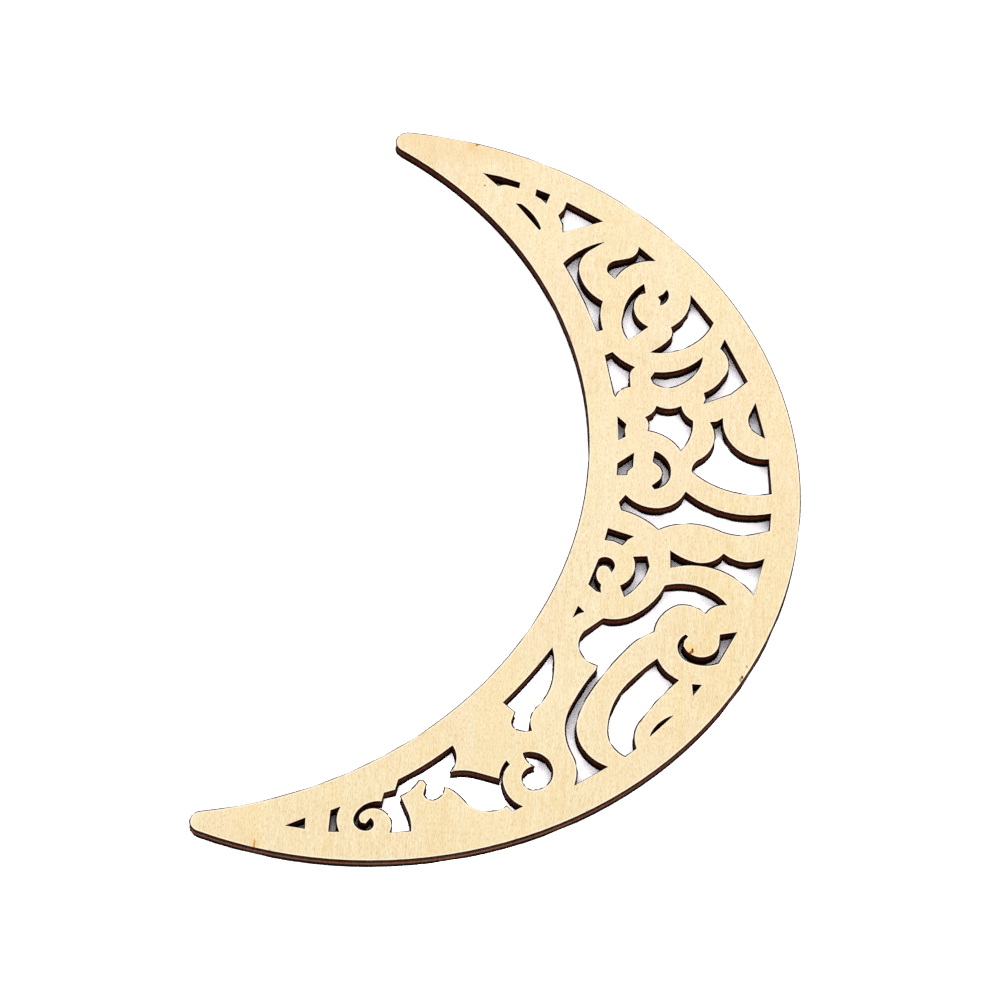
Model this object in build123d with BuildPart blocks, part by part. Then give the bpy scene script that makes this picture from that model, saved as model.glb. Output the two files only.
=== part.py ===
"""Crescent ornament: one sheet of three-ply wood, cut right through with a fret of scroll windows.

The sheet lies flat: +Z is its front, +Y runs from horn to horn and +X points at the bulge.
The origin is under the middle of the outline's box, on the back face. Sizes are in millimetres.
"""
import os
from math import acos, cos, degrees, radians, sin, sqrt

from build123d import *

# Outline
outer_radius = 108.75  # the bulging edge
bay_radius = 109.25  # the hollow edge between the horns
bay_offset = 54.7  # between the centres of those two edges
upper_tip_radius = 3.2  # round of the upper horn's end
lower_tip_radius = 2.7  # round of the lower horn's end
border = 7.15  # plain wood between the edges and the fret

# Layers of the plywood
veneer_thickness = 0.75  # front and back
core_thickness = 1.5

# Windows of the fret, from the upper horn's tip down to the lower one's. A point is (along, across),
# in percent of the fret field: along runs from the middle of the crescent, 0, to where the borders
# meet in the upper horn, 100, or in the lower one, -100, and across from the bay's border, 0, to the
# bulge's, 100. Each line is one stretch of the edge, from its corner to the next line's corner. A
# corner alone starts a straight stretch. More points make a chain of arcs: by turns, a point that
# an arc passes through and the point where it ends.
windows = {
    "upper_leaf": [
        [(89.7, 85)],
        [(93.3, 75.3)],
        [(96.3, 42)],
        [(92.9, 21.5), (92.4, 38)],
        [(91.2, 54.5)],
        [(89.4, 64.3)],
    ],
    "upper_tile": [
        [(86.6, 87.5)],
        [(84.1, 90.7)],
        [(83.8, 65.4)],
        [(84.9, 69.2)],
        [(86.2, 69.2)],
    ],
    "upper_sliver": [
        [(88.6, 12)],
        [(87.7, 22), (85.4, 22.6)],
        [(82, 11.5)],
        [(82, 6.5)],
    ],
    "upper_kite": [
        [(80.9, 92.5)],
        [(73.7, 95.7)],
        [(78.1, 37.8)],
        [(79, 48.5)],
        [(80.7, 58.9)],
        [(80.5, 75)],
    ],
    "upper_horn": [
        [(70.8, 72)],
        [(71.8, 46), (71.4, 24.5), (69, 13), (66.4, 11.7)],
        [(61.7, 20.5), (59.5, 11)],
        [(56, 7)],
        [(56.5, 0.7), (65, 1.3)],
        [(73.8, 3.6), (72.9, 40)],
    ],
    "upper_wave": [
        [(65.9, 96.1)],
        [(61.9, 96), (64.1, 73.5)],
        [(63.9, 47)],
        [(66, 45.6), (67, 53.5)],
        [(66.6, 63.5)],
        [(65.4, 76), (65.1, 84)],
    ],
    "upper_moon": [
        [(59.6, 68.7)],
        [(57.9, 63.6)],
        [(58.3, 57.5)],
        [(58, 52), (55.2, 42.5)],
        [(51.4, 47.3)],
        [(50.8, 25.6), (53.3, 24.6), (56.5, 32), (59, 47.8)],
    ],
    "upper_comma": [
        [(56.2, 82.8), (54.4, 76.5)],
        [(54.2, 67.7)],
        [(54.9, 71)],
        [(55.9, 71.2)],
        [(55.8, 77)],
    ],
    "upper_fan": [
        [(53.1, 97.6)],
        [(46.4, 98.3), (43.9, 69)],
        [(46, 38.5), (46.2, 48), (47, 59.3), (47.8, 63)],
        [(49.1, 64.8), (50.2, 83.2)],
    ],
    "upper_scythe": [
        [(42.7, 98.7)],
        [(33.7, 99.5)],
        [(32, 84.8)],
        [(31.2, 63.4)],
        [(32.1, 66)],
        [(33.5, 66.2), (34.2, 75.5), (35.5, 83.3), (38.2, 92.4)],
        [(41.3, 91.8)],
    ],
    "upper_foot": [
        [(50, 0.7)],
        [(49.9, 8.1), (47.1, 13.3)],
        [(44.1, 22.2), (43.5, 17.9)],
        [(42.2, 15.6)],
        [(39.7, 14.4), (39.8, 7)],
        [(38.3, 1.5)],
        [(39.2, 0.5)],
    ],
    "upper_smile": [
        [(40.9, 76), (38, 65.3), (36.6, 51), (37, 39.5)],
        [(38.8, 32.2)],
        [(40.2, 31.5)],
        [(41.2, 36), (39.8, 56)],
    ],
    "upper_bowl": [
        [(29.4, 99.4)],
        [(22.3, 99.4)],
        [(23.8, 93), (25.4, 90.8)],
        [(27.3, 93)],
    ],
    "star": [
        [(31.8, 47.6), (29.6, 48.7)],
        [(27.9, 53.2), (24.4, 49.7)],
        [(21.1, 42.1), (25, 33)],
        [(27.2, 21.1), (29.2, 22.5)],
        [(30.9, 20.8), (31.8, 27.2)],
        [(33.1, 30.3), (31.6, 40)],
    ],
    "upper_wedge": [
        [(32.8, 1)],
        [(30, 6.7)],
        [(28.4, 5.1)],
        [(26.5, 5.5)],
        [(25.8, 0.6)],
    ],
    "bell": [
        [(27.5, 74.2), (24.6, 73), (20.7, 79), (18.8, 88.5)],
        [(18.3, 99.5)],
        [(11.7, 99.8), (11.8, 73)],
        [(16, 48.8), (17.5, 49.8), (19, 55.2), (21.3, 63)],
        [(27, 64.8)],
        [(26.9, 69.5)],
    ],
    "arch": [
        [(21.6, 24.8), (18.6, 33.3), (15.6, 34.9), (13, 32.2)],
        [(11.4, 25)],
        [(12.3, 23.2)],
        [(13.6, 27.2), (15.7, 29.5)],
        [(17.4, 27.8)],
        [(18.8, 23.4)],
    ],
    "upper_chip": [
        [(21.6, 11)],
        [(17.5, 10.2)],
        [(16.3, 7)],
        [(15.2, 6.8)],
        [(15.1, 0.3)],
        [(18.7, 0.3)],
    ],
    "long_band": [
        [(8, 99.8)],
        [(4.7, 99.8)],
        [(3.6, 90.5), (2.8, 79), (3.3, 67), (3.7, 50)],
        [(0.9, 31.2), (3.3, 19)],
        [(4.6, 6.1)],
        [(6.8, 3.9)],
        [(9.2, 7.2), (6.8, 16.5), (6.4, 29), (8.2, 39.2)],
        [(11.2, 45), (7.3, 70.5)],
    ],
    "middle_chip": [
        [(-2.2, 17.4)],
        [(-3.5, 14)],
        [(-5.4, 12)],
        [(-4.9, 6)],
        [(-5.3, 0.4)],
        [(-1.6, 0.4)],
    ],
    "middle_band": [
        [(-0.6, 99.7)],
        [(-7.8, 99.7), (-4.9, 71.5)],
        [(-7.4, 44.9)],
        [(-3.5, 41.5), (-4.4, 49), (-4.7, 59), (-3.6, 68.5)],
        [(-1.4, 74.2), (-2.2, 87)],
    ],
    "middle_slot": [
        [(-6.4, 28.8)],
        [(-8.7, 32), (-13.4, 30.5)],
        [(-18.2, 25)],
        [(-16, 19.5), (-12.3, 24.3)],
        [(-7.6, 20.6)],
    ],
    "middle_hook": [
        [(-13.6, 11.2)],
        [(-12.3, 11.6), (-10.2, 8)],
        [(-11.4, 0.6)],
        [(-19.4, 0.5)],
        [(-20.1, 7)],
        [(-19.9, 10.1)],
        [(-19, 8.5)],
        [(-17.9, 7.8), (-16.6, 3.2), (-14.5, 2), (-12.7, 4.3)],
        [(-12.6, 8.5)],
    ],
    "channel": [
        [(-11.1, 86.5), (-12.1, 80)],
        [(-14.2, 76.4), (-13.8, 67), (-14.8, 58), (-18, 52.1)],
        [(-22.2, 53), (-25, 47.3), (-28, 44.5), (-34, 42.5), (-40.5, 44.5), (-43.6, 47.7),
         (-46.4, 53.8), (-48.8, 75)],
        [(-47.4, 98.7)],
        [(-53.6, 98.8), (-51.9, 88.5), (-50.9, 73), (-49.6, 56), (-46.5, 44), (-42, 38.4)],
        [(-36.2, 36.4)],
        [(-35.4, 35), (-35.4, 18.8)],
        [(-31, 13.2)],
        [(-25.5, 19.6), (-24.1, 27.3), (-21.5, 35.2), (-17.3, 42)],
        [(-11.8, 45.7), (-9.5, 67.5)],
    ],
    "lower_wedge": [
        [(-26.7, 6.3)],
        [(-28, 3.2)],
        [(-29.8, 1.3)],
        [(-26.2, 0.6)],
    ],
    "lower_hook": [
        [(-15.1, 99.4)],
        [(-21.6, 99.4), (-23.4, 91), (-24.1, 80.5), (-22.5, 71.2)],
        [(-19.7, 71.5)],
        [(-19.8, 73.4)],
        [(-20.8, 72.6)],
        [(-21.9, 73.9)],
        [(-22.4, 77), (-22, 89)],
        [(-18.5, 93.4)],
        [(-16.8, 90.6)],
    ],
    "knife": [
        [(-39.2, 0.7), (-42.4, 11), (-45.2, 18), (-48.2, 22.3)],
        [(-51.3, 23.6), (-53.3, 27)],
        [(-54.6, 37), (-56.1, 32.8), (-57.1, 27.5), (-57.4, 22)],
        [(-56.9, 18)],
        [(-55.5, 14)],
        [(-56.6, -0.3), (-47.9, 0.2)],
    ],
    "leaf": [
        [(-27.9, 85.1), (-33, 83.2), (-37.5, 85.2), (-40.6, 90.8)],
        [(-41.9, 99.4)],
        [(-44.2, 99.6), (-44.6, 87.5), (-43, 73.5), (-39.4, 63.5), (-34.3, 59.8), (-29.6, 62)],
        [(-26.7, 64.7), (-28, 76)],
    ],
    "lower_chip": [
        [(-26.4, 99)],
        [(-28.8, 99.2)],
        [(-27.2, 93.7)],
    ],
    "lower_sliver": [
        [(-33.5, 98.8)],
        [(-39, 98.8), (-36.4, 95.7)],
    ],
    "vine": [
        [(-62.3, 98)],
        [(-64.1, 99.5)],
        [(-64.6, 92), (-68, 90.5), (-70.9, 68), (-72, 54)],
        [(-73.3, 43.8), (-73.8, 52), (-75, 56.7), (-76.5, 52.5)],
        [(-77, 42.5)],
        [(-76.3, 30)],
        [(-76.7, 23)],
        [(-77.3, 19.7), (-78.8, 27.8)],
        [(-80.9, 33)],
        [(-80.3, 56), (-79.8, 80)],
        [(-79.9, 98.7)],
        [(-83.1, 98.3), (-82.8, 73), (-84.3, 47.5), (-86, 38), (-87.2, 41.5), (-87.8, 57)],
        [(-87.4, 71)],
        [(-86.7, 74.3)],
        [(-86, 61.7), (-85.5, 76), (-86.3, 91), (-88.2, 79), (-88.5, 50), (-87, 26)],
        [(-84.1, 30.3)],
        [(-83.6, 14.3)],
        [(-81.7, 17.2)],
        [(-81, 1.6), (-75.5, 1.8)],
        [(-69.9, 0.3), (-70, 17.8)],
        [(-71.7, 29), (-69.3, 35.2)],
        [(-67.5, 43)],
        [(-64, 61.5), (-63, 53.6)],
        [(-61.5, 48)],
        [(-61.3, 53), (-63.1, 59.3), (-63.8, 71), (-63.5, 87)],
    ],
    "spiral": [
        [(-57.6, 66.5), (-60.3, 69.6), (-60.1, 85), (-57.2, 87.5), (-55.4, 79.5), (-55, 66)],
        [(-58.2, 49.9), (-58.3, 57.6)],
    ],
    "lower_tile": [
        [(-90.7, 96.3)],
        [(-92.3, 98)],
        [(-92.3, 7)],
        [(-90.8, 5), (-91.3, 45)],
    ],
    "lower_leaf": [
        [(-95.9, 95)],
        [(-98.9, 80)],
        [(-96.1, 3.8)],
    ],
}

# The fret field lies between two circles, one border width inside the sheet's edges
field_outer = outer_radius - border
field_inner = bay_radius + border
field_angle = degrees(
    acos((field_inner**2 - field_outer**2 - bay_offset**2) / (2 * bay_offset * field_outer))
)


def field_point(along, across):
    """Give a fret point's place, seen from the centre of the bulging edge."""
    angle = radians(field_angle * along / 100)
    nearest = sqrt(field_inner**2 - (bay_offset * sin(angle)) ** 2) - bay_offset * cos(angle)
    reach = nearest + (field_outer - nearest) * across / 100
    return (reach * cos(angle), reach * sin(angle))


# Face of the sheet, drawn about the centre of the bulging edge
with BuildSketch() as fret:
    Circle(outer_radius)
    with Locations((-bay_offset, 0)):
        Circle(bay_radius, mode=Mode.SUBTRACT)
    fillet(fret.vertices().sort_by(Axis.Y)[-1], upper_tip_radius)
    fillet(fret.vertices().sort_by(Axis.Y)[0], lower_tip_radius)
    for stretches in windows.values():
        with BuildLine():
            for stretch, following in zip(stretches, stretches[1:] + stretches[:1]):
                points = [field_point(*point) for point in stretch + following[:1]]
                if len(points) == 2:
                    Line(*points)
                for first in range(0, len(points) - 2, 2):
                    ThreePointArc(*points[first : first + 3])
        make_face(mode=Mode.SUBTRACT)

outline = fret.sketch.bounding_box()
centre_x = -(outline.min.X + outline.max.X) / 2

# Layers, from the back face up
layers = {
    "back_veneer": veneer_thickness,
    "core_ply": core_thickness,
    "front_veneer": veneer_thickness,
}
os.makedirs("parts", exist_ok=True)
height = 0
for name, thickness in layers.items():
    with BuildPart() as layer:
        with BuildSketch(Plane(origin=(centre_x, 0, height))):
            add(fret.sketch)
        extrude(amount=thickness)
    layer.part.label = name
    export_step(layer.part, f"parts/{name}.step")
    height += thickness
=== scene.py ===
"""Looks of the crescent ornament: laser-cut three-ply wood lying face up on white paper."""
from math import cos, radians, sin

import bmesh
import bpy
from mathutils import Matrix, Vector


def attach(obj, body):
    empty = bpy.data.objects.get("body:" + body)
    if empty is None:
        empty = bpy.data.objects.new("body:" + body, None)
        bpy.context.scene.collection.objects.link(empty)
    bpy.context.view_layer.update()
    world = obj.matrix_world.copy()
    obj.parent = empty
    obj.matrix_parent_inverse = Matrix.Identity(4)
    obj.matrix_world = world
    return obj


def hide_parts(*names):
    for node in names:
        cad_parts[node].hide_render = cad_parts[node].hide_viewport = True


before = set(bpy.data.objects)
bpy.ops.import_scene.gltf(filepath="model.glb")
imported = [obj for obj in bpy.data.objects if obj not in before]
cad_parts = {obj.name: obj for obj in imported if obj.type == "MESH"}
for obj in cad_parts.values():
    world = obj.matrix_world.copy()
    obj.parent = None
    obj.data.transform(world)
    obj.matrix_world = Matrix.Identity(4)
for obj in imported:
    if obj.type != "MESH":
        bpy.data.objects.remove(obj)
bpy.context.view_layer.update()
scene = bpy.context.scene

MM = 0.001
SHEET = 3.0  # thickness of the plywood, in mm
GRAIN_TURN = 10.0  # from +Y towards -X, in degrees

# What the laser leaves on a face beside a cut, in mm
BURN_WIDTH = 0.11  # charred rim on the face
BURN_DROP = 0.05  # how far the rim is burnt away at the cut
WINDOW_LIP = 0.26  # how far the rim stands out over a window
OUTLINE_LIP = 0.18  # how far it stands out over the outer edge and the bay
BAND_WIDTH = 0.35  # paler wood inside the rim

# The outer edge and the bay: the circle's middle along X and its radius, in mm, and how far the wall
# turns from the windows' darker colours to the paler ones of the outline by the lower horn
ROUND_EDGES = [
    (-45.23, 108.75, 1.0),
    (-99.93, 109.25, 0.25),
]
ROUND_EDGE_REACH = 0.3  # a wall this near to one of these circles belongs to it, in mm
PALE_WALL = (-50, -90)  # Y where such a wall starts to turn paler and where it has, in mm


class Shade:
    """The node tree of a material or a world, with short ways to add and join nodes."""

    def __init__(self, owner):
        self.owner = owner
        owner.use_nodes = True
        self.tree = owner.node_tree
        self.tree.nodes.clear()

    def node(self, kind, inputs=None, **settings):
        made = self.tree.nodes.new("ShaderNode" + kind)
        for key, value in settings.items():
            setattr(made, key, value)
        for key, value in (inputs or {}).items():
            if isinstance(value, bpy.types.NodeSocket):
                self.tree.links.new(value, made.inputs[key])
            else:
                made.inputs[key].default_value = value
        return made

    def math(self, operation, a, b=0.0, clamp=False):
        made = self.node("Math", {0: a, 1: b}, operation=operation, use_clamp=clamp)
        return made.outputs[0]

    def vector(self, operation, a, b):
        return self.node("VectorMath", {0: a, 1: b}, operation=operation).outputs

    def ramp(self, value, low, high, to_low=0.0, to_high=1.0):
        """A smooth step from to_low to to_high as value goes from low to high."""
        made = self.node(
            "MapRange",
            {0: value, 1: low, 2: high, 3: to_low, 4: to_high},
            interpolation_type="SMOOTHSTEP",
        )
        return made.outputs[0]

    def mix(self, share, a, b, blend="MIX"):
        made = self.node("Mix", {0: share, 6: a, 7: b}, data_type="RGBA", blend_type=blend)
        return made.outputs[2]

    def millimetres(self, turn=0.0):
        """The part's own coordinates in mm, turned about Z."""
        place = self.node("TexCoord").outputs["Object"]
        made = self.node(
            "Mapping",
            {"Vector": place, "Rotation": (0, 0, radians(turn)), "Scale": (1 / MM,) * 3},
        )
        return made.outputs[0]

    def split(self, place):
        """The X, Y and Z of a place."""
        return self.node("SeparateXYZ", {0: place}).outputs

    def noise(self, place, stretch, detail=2.0, roughness=0.5, shift=(0, 0, 0)):
        """Noise with one wave per 1/stretch mm along each axis."""
        moved = self.node("Mapping", {"Vector": place, "Location": shift, "Scale": stretch})
        made = self.node(
            "TexNoise",
            {"Vector": moved.outputs[0], "Scale": 1.0, "Detail": detail, "Roughness": roughness},
        )
        return made.outputs[0]

    def shown(self):
        """1 for rays that show the backdrop itself: from the camera, or by way of metal or glass."""
        path = self.node("LightPath").outputs
        either = self.math("ADD", path["Is Camera Ray"], path["Is Glossy Ray"], True)
        return self.math("ADD", either, path["Is Transmission Ray"], True)

    def finish(self, colour, roughness, bump, depth, specular):
        """End a material with a plain surface that has a bump of some depth in mm."""
        raised = self.node("Bump", {"Strength": 1.0, "Distance": depth * MM, "Height": bump})
        shader = self.node(
            "BsdfPrincipled",
            {
                "Base Color": colour,
                "Roughness": roughness,
                "Specular IOR Level": specular,
                "Normal": raised.outputs[0],
            },
        )
        self.node("OutputMaterial", {0: shader.outputs[0]})
        return self.owner


def rgb(red, green, blue):
    """A colour given as 0 to 255 on a screen, in the linear values that shaders take."""
    def linear(value):
        value /= 255
        return value / 12.92 if value <= 0.04045 else ((value + 0.055) / 1.055) ** 2.4

    return (linear(red), linear(green), linear(blue), 1)


# Small marks that the face shows: place in mm, size along and across the grain, strength, colour
MARKS = [
    ((-40.95, 108.25), (0.45, 0.42), 1.0, (36, 10, 4)),
    ((-42.5, 107.4), (2.0, 1.5), 0.45, (244, 190, 116)),
    ((-36.0, 95.6), (0.36, 0.34), 0.8, (176, 126, 78)),
    ((-47.2, -107.9), (1.7, 0.29), 0.95, (196, 128, 54)),
    ((-47.4, -107.7), (1.6, 1.3), 0.35, (244, 198, 124)),
    ((43.0, -31.4), (2.6, 2.4), 0.5, (250, 208, 116)),
    ((43.65, -31.3), (0.85, 0.34), 1.0, (112, 72, 16)),
    ((43.3, -32.2), (0.8, 0.34), 1.0, (150, 92, 26)),
    ((56.85, -35.8), (0.55, 0.34), 1.0, (100, 68, 28)),
    ((56.6, -36.7), (0.75, 0.36), 0.8, (160, 126, 74)),
    ((57.4, -32.6), (0.5, 0.3), 0.7, (164, 130, 86)),
    ((-44.0, 109.0), (9.0, 26.0), 0.36, (242, 208, 148)),
]
LOWER_TONE = (0.945, 0.93, 0.885, 1)  # the wood is a little browner towards the lower horn


def veneer_material(name, tint, seed, marks=(), edge=0.0):
    """Pale bare veneer: soft bands, fine fibres, short pores and a few marks.

    edge is how far the wood turns paler, where it lies right beside a cut.
    """
    shade = Shade(bpy.data.materials.new(name))
    straight = shade.millimetres(-GRAIN_TURN)
    waves = shade.node("TexNoise", {"Vector": straight, "Scale": 0.022, "Detail": 2.0})
    sway = shade.vector("SUBTRACT", waves.outputs["Color"], (0.5, 0.5, 0.5))[0]
    sway = shade.vector("MULTIPLY", sway, (9.0, 0, 0))[0]
    place = shade.vector("ADD", straight, sway)[0]
    shift = (seed, seed, 0)
    bands = shade.noise(place, (0.11, 0.012, 0.05), 3, 0.5, shift)
    blush = shade.noise(place, (0.05, 0.02, 0.05), 2, 0.5, (seed + 7, 3, 0))
    figure = shade.noise(place, (0.03, 0.015, 0.05), 2, 0.5, (seed + 13, 5, 0))
    fibres = shade.noise(place, (1.5, 0.12, 0.5), 4, 0.65, shift)
    hairs = shade.noise(place, (3.4, 0.2, 1.0), 3, 0.65, shift)
    pores = shade.noise(place, (3.6, 0.8, 1.0), 1, 0.5, (seed + 3, 0, 0))
    grit = shade.noise(place, (5.0, 0.95, 1.0), 2, 0.6, (seed + 23, 0, 0))

    # Tones of the wood, from the broad ones to the fine ones
    force = shade.ramp(figure, 0.35, 0.65, 0.55, 1.0)
    colour = shade.mix(shade.ramp(bands, 0.35, 0.65), rgb(*tint[0]), rgb(*tint[1]))
    colour = shade.mix(shade.ramp(blush, 0.4, 0.7, 0, 0.7), colour, rgb(*tint[2]))
    streak = shade.math("MULTIPLY", shade.ramp(fibres, 0.4, 0.75, 0, 0.75), force)
    colour = shade.mix(streak, colour, rgb(*tint[3]))
    hair = shade.math("MULTIPLY", shade.ramp(hairs, 0.42, 0.72, 0, 1.0), force)
    colour = shade.mix(hair, colour, rgb(*tint[4]))
    colour = shade.mix(shade.ramp(pores, 0.7, 0.78, 0, 0.6), colour, rgb(*tint[5]))
    colour = shade.mix(shade.ramp(grit, 0.5, 0.25, 0, 0.7), colour, rgb(*tint[6]))
    colour = shade.mix(shade.ramp(grit, 0.5, 0.75, 0, 0.8), colour, rgb(*tint[7]))
    along_sheet = shade.split(shade.millimetres())[1]
    colour = shade.mix(shade.ramp(along_sheet, 100, -110, 0.1, 1), colour, LOWER_TONE, "MULTIPLY")

    if edge:
        scorch = shade.noise(place, (0.45, 0.3, 0.3), 3, 0.65, (seed + 17, 9, 0))
        colour = shade.mix(edge, colour, rgb(255, 248, 222))
        colour = shade.mix(shade.ramp(scorch, 0.56, 0.72, 0, 0.7), colour, rgb(222, 172, 112))
    turned = Matrix.Rotation(radians(-GRAIN_TURN), 3, "Z")
    across_grain, along_grain = shade.split(straight)[:2]
    for (x, y), (length, width), strength, mark in marks:
        middle = turned @ Vector((x, y, 0))
        across = shade.math("DIVIDE", shade.math("SUBTRACT", across_grain, middle.x), width)
        along = shade.math("DIVIDE", shade.math("SUBTRACT", along_grain, middle.y), length)
        squares = shade.math(
            "ADD", shade.math("MULTIPLY", across, across), shade.math("MULTIPLY", along, along)
        )
        core = 0.5 if width < 1 else 0.1  # small marks have the sharper edges
        colour = shade.mix(shade.ramp(squares, core, 1.0, strength, 0), colour, rgb(*mark))

    relief = shade.math("ADD", shade.math("MULTIPLY", fibres, 0.6), shade.math("MULTIPLY", hairs, 0.4))
    return shade.finish(colour, shade.ramp(fibres, 0.3, 0.7, 0.62, 0.74), relief, 0.02, 0.1)


def char_material(name, window_levels, outline_levels):
    """A cut wall, charred by the laser: colours by height in the sheet, with burnt streaks. The darkest
    colours low on the wall are char and painted shade.
    """
    shade = Shade(bpy.data.materials.new(name))
    place = shade.millimetres()
    along_sheet, height = shade.split(place)[1:3]
    flat = shade.vector("MULTIPLY", place, (1, 1, 0))[0]
    outline = 0.0
    for middle, radius, paleness in ROUND_EDGES:
        away = shade.vector("DISTANCE", flat, (middle, 0, 0))["Value"]
        off = shade.math("ABSOLUTE", shade.math("SUBTRACT", away, radius))
        near = shade.math("LESS_THAN", off, ROUND_EDGE_REACH)
        pale = shade.math("MULTIPLY", near, shade.ramp(along_sheet, *PALE_WALL, 0.0, paleness))
        outline = shade.math("ADD", outline, pale, True)
    streaks = shade.noise(place, (2.6, 2.6, 0.25), 3, 0.6)
    lines = shade.noise(place, (0.5, 0.5, 9.0), 2, 0.5)
    wander = shade.math("MULTIPLY", shade.math("SUBTRACT", streaks, 0.5), 0.25)
    level = shade.math("DIVIDE", shade.math("ADD", height, wander), SHEET)
    tones = []
    for levels in (window_levels, outline_levels):
        ramp = shade.node("ValToRGB", {0: level})
        stops = ramp.color_ramp.elements
        for index, (position, colour) in enumerate(levels):
            stop = stops[index] if index < len(stops) else stops.new(position)
            stop.position = position
            stop.color = rgb(*colour)
        tones.append(ramp.outputs[0])
    tone = shade.mix(outline, *tones)
    soot = shade.mix(shade.ramp(streaks, 0.45, 0.75, 0, 0.6), tone, rgb(12, 5, 3))
    colour = shade.mix(shade.ramp(lines, 0.55, 0.8, 0, 0.35), soot, rgb(18, 7, 4))
    return shade.finish(colour, shade.ramp(streaks, 0.3, 0.7, 0.6, 0.85), streaks, 0.06, 0.02)


def rim_material(name, dark, light, speck):
    """The thin rim of a face that the laser scorched, darker and lighter along the cut."""
    shade = Shade(bpy.data.materials.new(name))
    place = shade.millimetres()
    coarse = shade.noise(place, (0.9, 0.9, 0.9), 2, 0.6)
    fine = shade.noise(place, (2.2, 2.2, 1.0), 2, 0.6, (5, 0, 0))
    colour = shade.mix(shade.ramp(coarse, 0.35, 0.7), rgb(*dark), rgb(*light))
    colour = shade.mix(shade.ramp(fine, 0.48, 0.58), colour, rgb(*speck))
    return shade.finish(colour, shade.ramp(fine, 0.3, 0.7, 0.6, 0.8), fine, 0.03, 0.02)


# Char and painted shade on the cut walls: height as a share of the sheet's thickness, and the colour there.
# The black at a wall's foot is char and painted contact shade; the windows' walls are darker low down than
# the outline's from soot and painted shade.
WINDOW_LEVELS = [
    (0.0, (3, 2, 2)),
    (0.18, (8, 4, 3)),
    (0.3, (44, 20, 11)),
    (0.45, (84, 42, 21)),
    (0.62, (88, 39, 19)),
    (0.72, (54, 18, 8)),
    (0.8, (28, 6, 3)),
    (1.0, (12, 2, 1)),
]
OUTLINE_LEVELS = [
    (0.0, (3, 2, 2)),
    (0.22, (6, 3, 2)),
    (0.32, (66, 44, 30)),
    (0.42, (124, 86, 62)),
    (0.56, (118, 74, 50)),
    (0.64, (72, 26, 11)),
    (0.72, (26, 4, 2)),
    (1.0, (10, 1, 1)),
]
# Tones of a veneer: two for its bands, then blush, fibres, hairs, pores, dark grit and light grit
FRONT_TINT = [
    (255, 238, 193),
    (255, 243, 207),
    (255, 237, 203),
    (246, 217, 161),
    (240, 211, 159),
    (196, 152, 100),
    (206, 184, 142),
    (255, 252, 228),
]
BACK_TINT = [
    (240, 216, 172),
    (246, 226, 188),
    (243, 217, 180),
    (228, 197, 146),
    (224, 192, 142),
    (190, 148, 98),
    (200, 174, 130),
    (252, 240, 208),
]

walls = char_material("charred_wall", WINDOW_LEVELS, OUTLINE_LEVELS)
dark_rim = rim_material("window_rim", (14, 3, 1), (38, 14, 6), (66, 32, 16))
brown_rim = rim_material("outline_rim", (62, 38, 22), (118, 86, 56), (16, 6, 3))
# Wood of the front (1) and the back (-1): the bare face, and the band beside a cut
WOODS = {
    1: [
        veneer_material("front_face_wood", FRONT_TINT, 0, MARKS),
        veneer_material("front_edge_wood", FRONT_TINT, 0, MARKS, 0.75),
    ],
    -1: [
        veneer_material("back_face_wood", BACK_TINT, 31),
        veneer_material("back_edge_wood", BACK_TINT, 31, (), 0.2),
    ],
}
FACE, WALL, DARK_RIM, BROWN_RIM, BAND = range(5)  # order of the materials on a dressed veneer


def outline_corners(faces):
    """The corners on the tallest loop of edges round some flat faces, and those on all the loops."""
    def at_wall(line):
        return abs(sum(face.normal.z for face in line.link_faces)) < 1.5

    def tallness(loop):
        return max(corner.co.y for corner in loop) - min(corner.co.y for corner in loop)

    lines = {line for face in faces for line in face.edges if at_wall(line)}
    unseen = {corner for line in lines for corner in line.verts}
    everywhere = set(unseen)
    loops = []
    while unseen:
        reached = [unseen.pop()]
        for corner in reached:
            for line in corner.link_edges:
                other = line.other_vert(corner)
                if line in lines and other in unseen:
                    unseen.remove(other)
                    reached.append(other)
        loops.append(reached)
    return set(max(loops, key=tallness)), everywhere


def inset(ply, faces, width):
    """Cut a strip of some width in mm off the border of some faces, and give the strip's faces."""
    made = bmesh.ops.inset_region(
        ply, faces=faces, thickness=width * MM, use_boundary=True, use_even_offset=False
    )
    return made["faces"]


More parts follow.
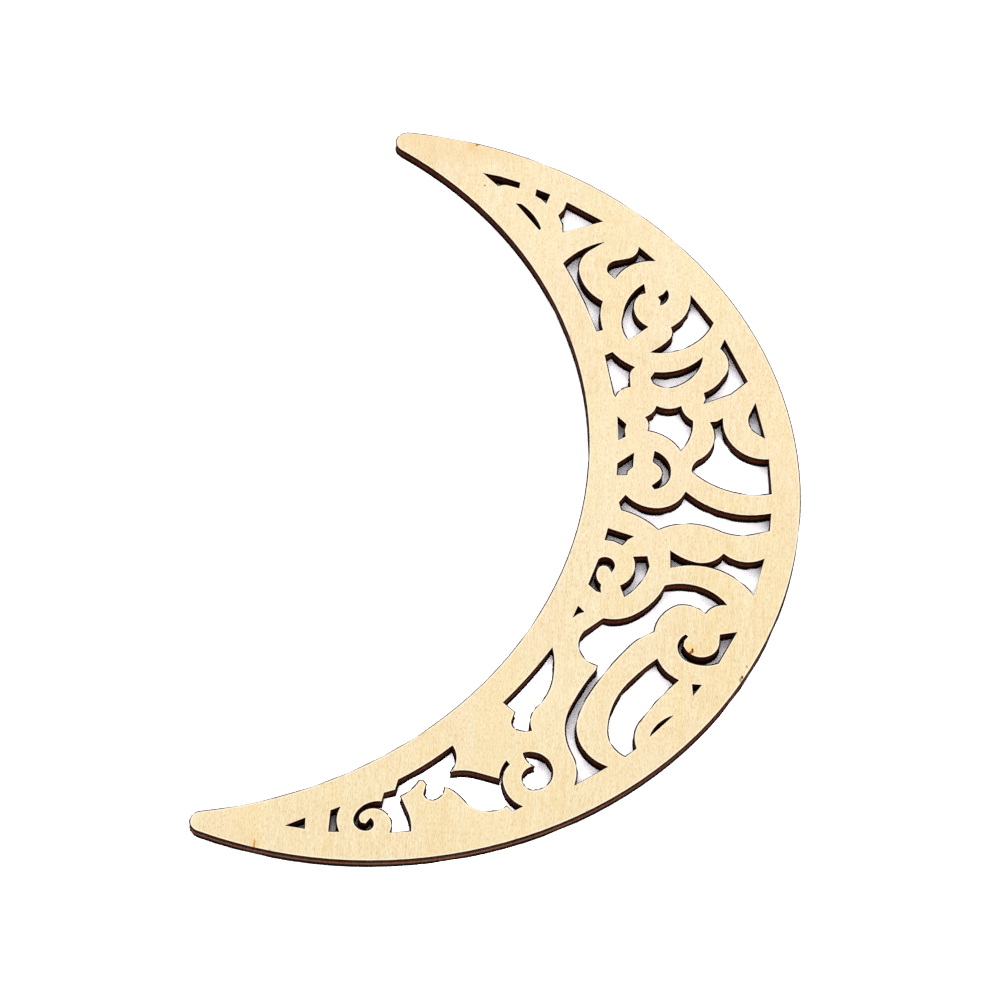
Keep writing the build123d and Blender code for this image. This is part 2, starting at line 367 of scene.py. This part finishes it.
def rimmed_ply(node_name, piece_name, side):
    """A veneer with its node's shape and a burnt rim round its bare face. side is 1 for up, -1 for down."""
    ply = bmesh.new()
    ply.from_mesh(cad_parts[node_name].data)
    bmesh.ops.remove_doubles(ply, verts=ply.verts, dist=0.001 * MM)
    bare = [face for face in ply.faces if face.normal.z * side > 0.5]
    for face in ply.faces:
        face.smooth = abs(face.normal.z) < 0.5
        face.material_index = WALL if face.smooth else FACE
    outline, corners = outline_corners(bare)
    moves = {}
    for face in inset(ply, bare, BURN_WIDTH):
        outer = any(corner in outline for corner in face.verts)
        # The inset took the old corners inwards, so the new ones are those at the cut
        for corner in face.verts:
            if corner in corners:
                continue
            cuts = [wall.normal for wall in corner.link_faces if abs(wall.normal.z) < 0.5]
            outward = sum(cuts, Vector()).normalized()
            lip = outward * (OUTLINE_LIP if outer else WINDOW_LIP)
            moves[corner] = (lip - Vector((0, 0, side * BURN_DROP))) * MM
        # On the outline, the rim is brown on the far side only
        face.material_index = BROWN_RIM if outer and outward.y > 0 else DARK_RIM
    for face in inset(ply, bare, BAND_WIDTH):
        face.material_index = BAND
    for corner, move in moves.items():
        corner.co += move
    mesh = bpy.data.meshes.new(piece_name)
    ply.to_mesh(mesh)
    ply.free()
    if "custom_normal" in mesh.attributes:
        mesh.attributes.remove(mesh.attributes["custom_normal"])
    mesh.set_sharp_from_angle(angle=radians(30))
    piece = bpy.data.objects.new(piece_name, mesh)
    scene.collection.objects.link(piece)
    face_wood, band_wood = WOODS[side]
    for made in (face_wood, walls, dark_rim, brown_rim, band_wood):
        mesh.materials.append(made)
    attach(piece, "root")
    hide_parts(node_name)


rimmed_ply("front_veneer", "front_ply", 1)
rimmed_ply("back_veneer", "back_ply", -1)
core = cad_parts["core_ply"]
core.material_slots[0].material = walls

# White paper under the object. The photograph's paper is overexposed, so it shows brighter than it lights
# the wood, and it only turns darker where walls stand close about it, which is painted shade.
PAPER_SHOWN = (2.5, 2.48, 2.52, 1)
SHADE_REACH = 0.02  # how far off walls still paint shade on the paper, in metres
PAPER_REACH = 4.0  # half the paper's width, in metres
PAPER_DROP = 0.2 * MM  # gap between the paper and the back face

paper = Shade(bpy.data.materials.new("white_paper"))
paper_place = paper.millimetres()
pulp = paper.noise(paper_place, (0.8, 0.8, 0.8), 3, 0.6)
cast = paper.mix(paper.ramp(pulp, 0.3, 0.7), rgb(186, 186, 188), rgb(192, 192, 194))
# Painted shade: the paper shown is darkened where walls stand close about it
open_sky = paper.node("AmbientOcclusion", {"Distance": SHADE_REACH}, samples=8).outputs["AO"]
painted_brightness = paper.ramp(open_sky, 0.12, 0.38, 0.3, 1.0)
# Painted light: the paper is painted lighter under the knife and vine windows of the lower horn
paper_x, paper_y = paper.split(paper_place)[:2]
painted_light_patch = paper.math("MULTIPLY", paper.ramp(paper_x, 15, 12), paper.ramp(paper_x, -22, -19))
painted_light_patch = paper.math("MULTIPLY", painted_light_patch, paper.ramp(paper_y, -36, -40, 0, 1.7))
painted_brightness = paper.math("MAXIMUM", painted_brightness, painted_light_patch)
painted_brightness_rgb = paper.node("CombineXYZ", {0: painted_brightness, 1: painted_brightness, 2: painted_brightness}).outputs[0]
shown_with_painted_brightness = paper.mix(1.0, PAPER_SHOWN, painted_brightness_rgb, "MULTIPLY")
matte = paper.node("BsdfDiffuse", {0: paper.mix(paper.shown(), cast, shown_with_painted_brightness)})
paper.node("OutputMaterial", {0: matte.outputs[0]})

floor_mesh = bpy.data.meshes.new("floor")
floor_corners = [(-1, -1), (1, -1), (1, 1), (-1, 1)]
floor_mesh.from_pydata(
    [(x * PAPER_REACH, y * PAPER_REACH, 0) for x, y in floor_corners], [], [(0, 1, 2, 3)]
)
floor_mesh.materials.append(paper.owner)
floor = bpy.data.objects.new("floor", floor_mesh)
floor.location.z = -PAPER_DROP
scene.collection.objects.link(floor)

# An even sky lights the object, and shows as plain white
sky = Shade(bpy.data.worlds.new("studio"))
scene.world = sky.owner
fill = sky.node("Background", {0: (1.0, 0.98, 1.015, 1), 1: 0.685})
white = sky.node("Background", {0: (1, 1, 1, 1), 1: 1.0})
choice = sky.node("MixShader", {0: sky.shown(), 1: fill.outputs[0], 2: white.outputs[0]})
sky.node("OutputWorld", {0: choice.outputs[0]})

LAMP_SIZE = 2.4  # in metres
LAMP_COLOUR = (1.0, 0.98, 0.95)


def lamp(name, place, watts):
    """A square soft lamp that looks at the middle of the object."""
    light = bpy.data.lights.new(name, "AREA")
    light.size = LAMP_SIZE
    light.energy = watts
    light.color = LAMP_COLOUR
    made = bpy.data.objects.new(name, light)
    made.location = place
    made.rotation_euler = (-Vector(place)).to_track_quat("-Z", "Y").to_euler()
    scene.collection.objects.link(made)


lamp("right_lamp", (3.7, -3.4, 2.0), 170.0)
lamp("left_lamp", (-2.5, -4.3, 2.0), 30.0)
lamp("back_lamp", (-0.9, 3.5, 4.0), 50.0)

# Camera, as it stood for the photograph
AZIMUTH = radians(8.11)
ELEVATION = radians(57.19)
ROLL = radians(4.86)
LENS = 137.27  # in mm, on a sensor 36 mm wide
AIM = Vector((-11.15, 0.06, 3.0)) * MM
DISTANCE = 953.5 * MM
back = Vector((sin(AZIMUTH) * cos(ELEVATION), -cos(AZIMUTH) * cos(ELEVATION), sin(ELEVATION)))
level = Vector((cos(AZIMUTH), sin(AZIMUTH), 0))
rise = back.cross(level)
right = level * cos(ROLL) + rise * sin(ROLL)
up = rise * cos(ROLL) - level * sin(ROLL)
camera_data = bpy.data.cameras.new("camera")
camera_data.sensor_width = 36.0
camera_data.lens = LENS
camera_data.clip_start = 0.01
camera_data.clip_end = 50.0
camera = bpy.data.objects.new("camera", camera_data)
turn = Matrix((right, up, back)).transposed().to_4x4()
camera.matrix_world = Matrix.Translation(AIM + back * DISTANCE) @ turn
scene.collection.objects.link(camera)
scene.camera = camera

scene.view_settings.view_transform = "Standard"
